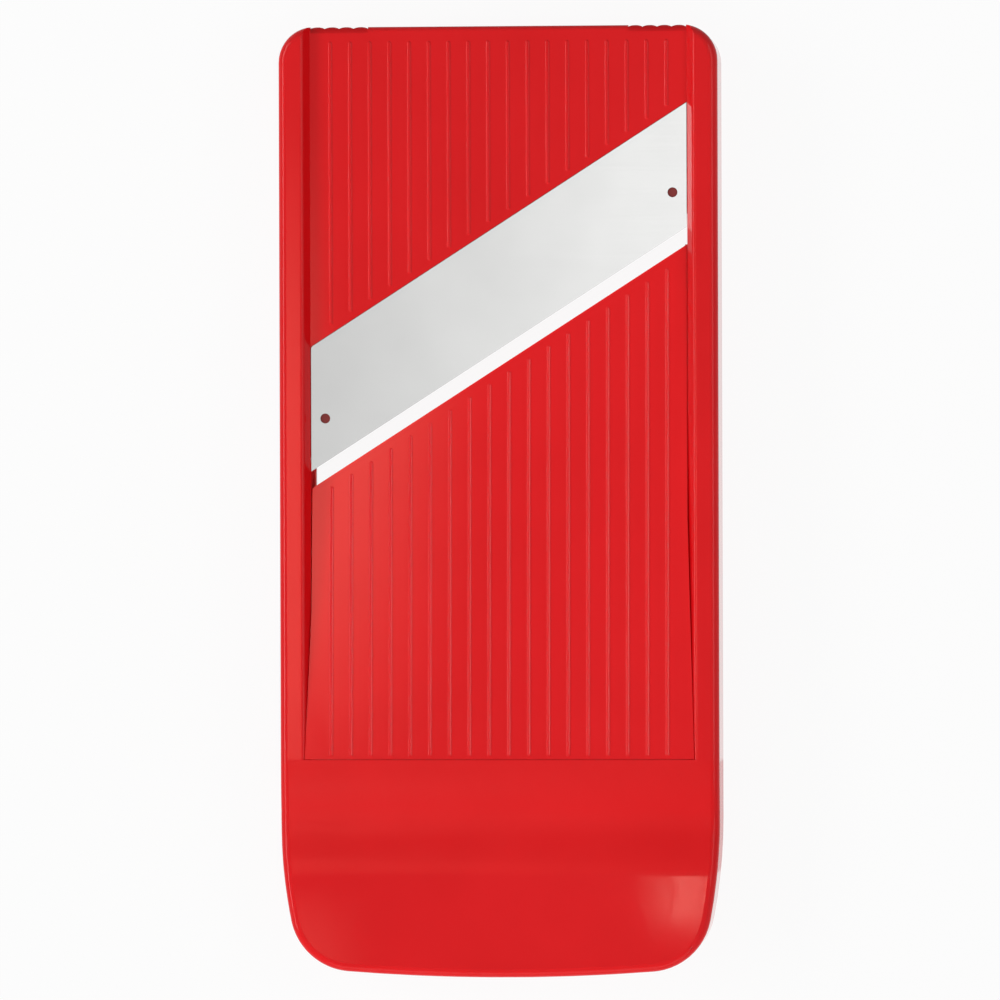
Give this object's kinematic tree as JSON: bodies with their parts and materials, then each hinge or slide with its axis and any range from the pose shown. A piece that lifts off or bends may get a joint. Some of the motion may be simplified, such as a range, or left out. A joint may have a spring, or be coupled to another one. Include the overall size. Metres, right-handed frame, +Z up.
{
  "type": "mandoline slicer",
  "caption": "Hand-held mandoline slicer with side rails, a ribbed deck, a slanting plate blade over an open throat, and a tilting ramp set by a dial underneath.",
  "frame": {"origin": "middle of the slicer's footprint, on the surface that it lies on", "axes": "+Z up out of the decks, +Y from the handle towards the far end, +X to the right seen from the handle"},
  "size_m": [0.111, 0.24, 0.0202],
  "materials": {
    "red_plastic": "gloss moulded",
    "blade_steel": "satin",
    "pin_steel": "bright",
    "spring_steel": "plain",
    "soft_red": "soft satin",
    "peg_plastic": "matt",
    "dial_plastic": "fine matt",
    "cam_plastic": "natural acetal"
  },
  "bodies": {
    "frame": {"body_frame": "red_plastic", "blade": "blade_steel", "blade_pegs": "peg_plastic", "end_grip_left": "soft_red", "end_grip_right": "soft_red", "hinge_pins": "pin_steel", "dial_bridge": "red_plastic", "bridge_screws": "pin_steel", "detent_spring": "spring_steel", "detent_screw": "pin_steel"},
    "ramp": {"infeed_ramp": "red_plastic", "cam_claw": "cam_plastic", "claw_screws": "pin_steel"},
    "dial": {"thickness_dial": "dial_plastic", "lift_cam": "cam_plastic", "dial_screw": "pin_steel", "dial_washer": "pin_steel", "spring_washer": "spring_steel"}
  },
  "joints": [
    {"name": "dial_turn", "type": "hinge", "parent": "frame", "child": "dial", "pos_m": [0, -0.022, 0.004], "axis": [0, 0, 1], "range_deg": [-162, 108], "deforming": ["detent_spring"]},
    {"name": "ramp_tilt", "type": "hinge", "parent": "frame", "child": "ramp", "pos_m": [0, -0.0615, 0.014], "axis": [1, 0, 0], "range_deg": [-0.9, 0.6]}
  ],
  "couplings": [
    {"joint": "ramp_tilt", "follows": "dial_turn", "ratio": 0.0055482}
  ]
}
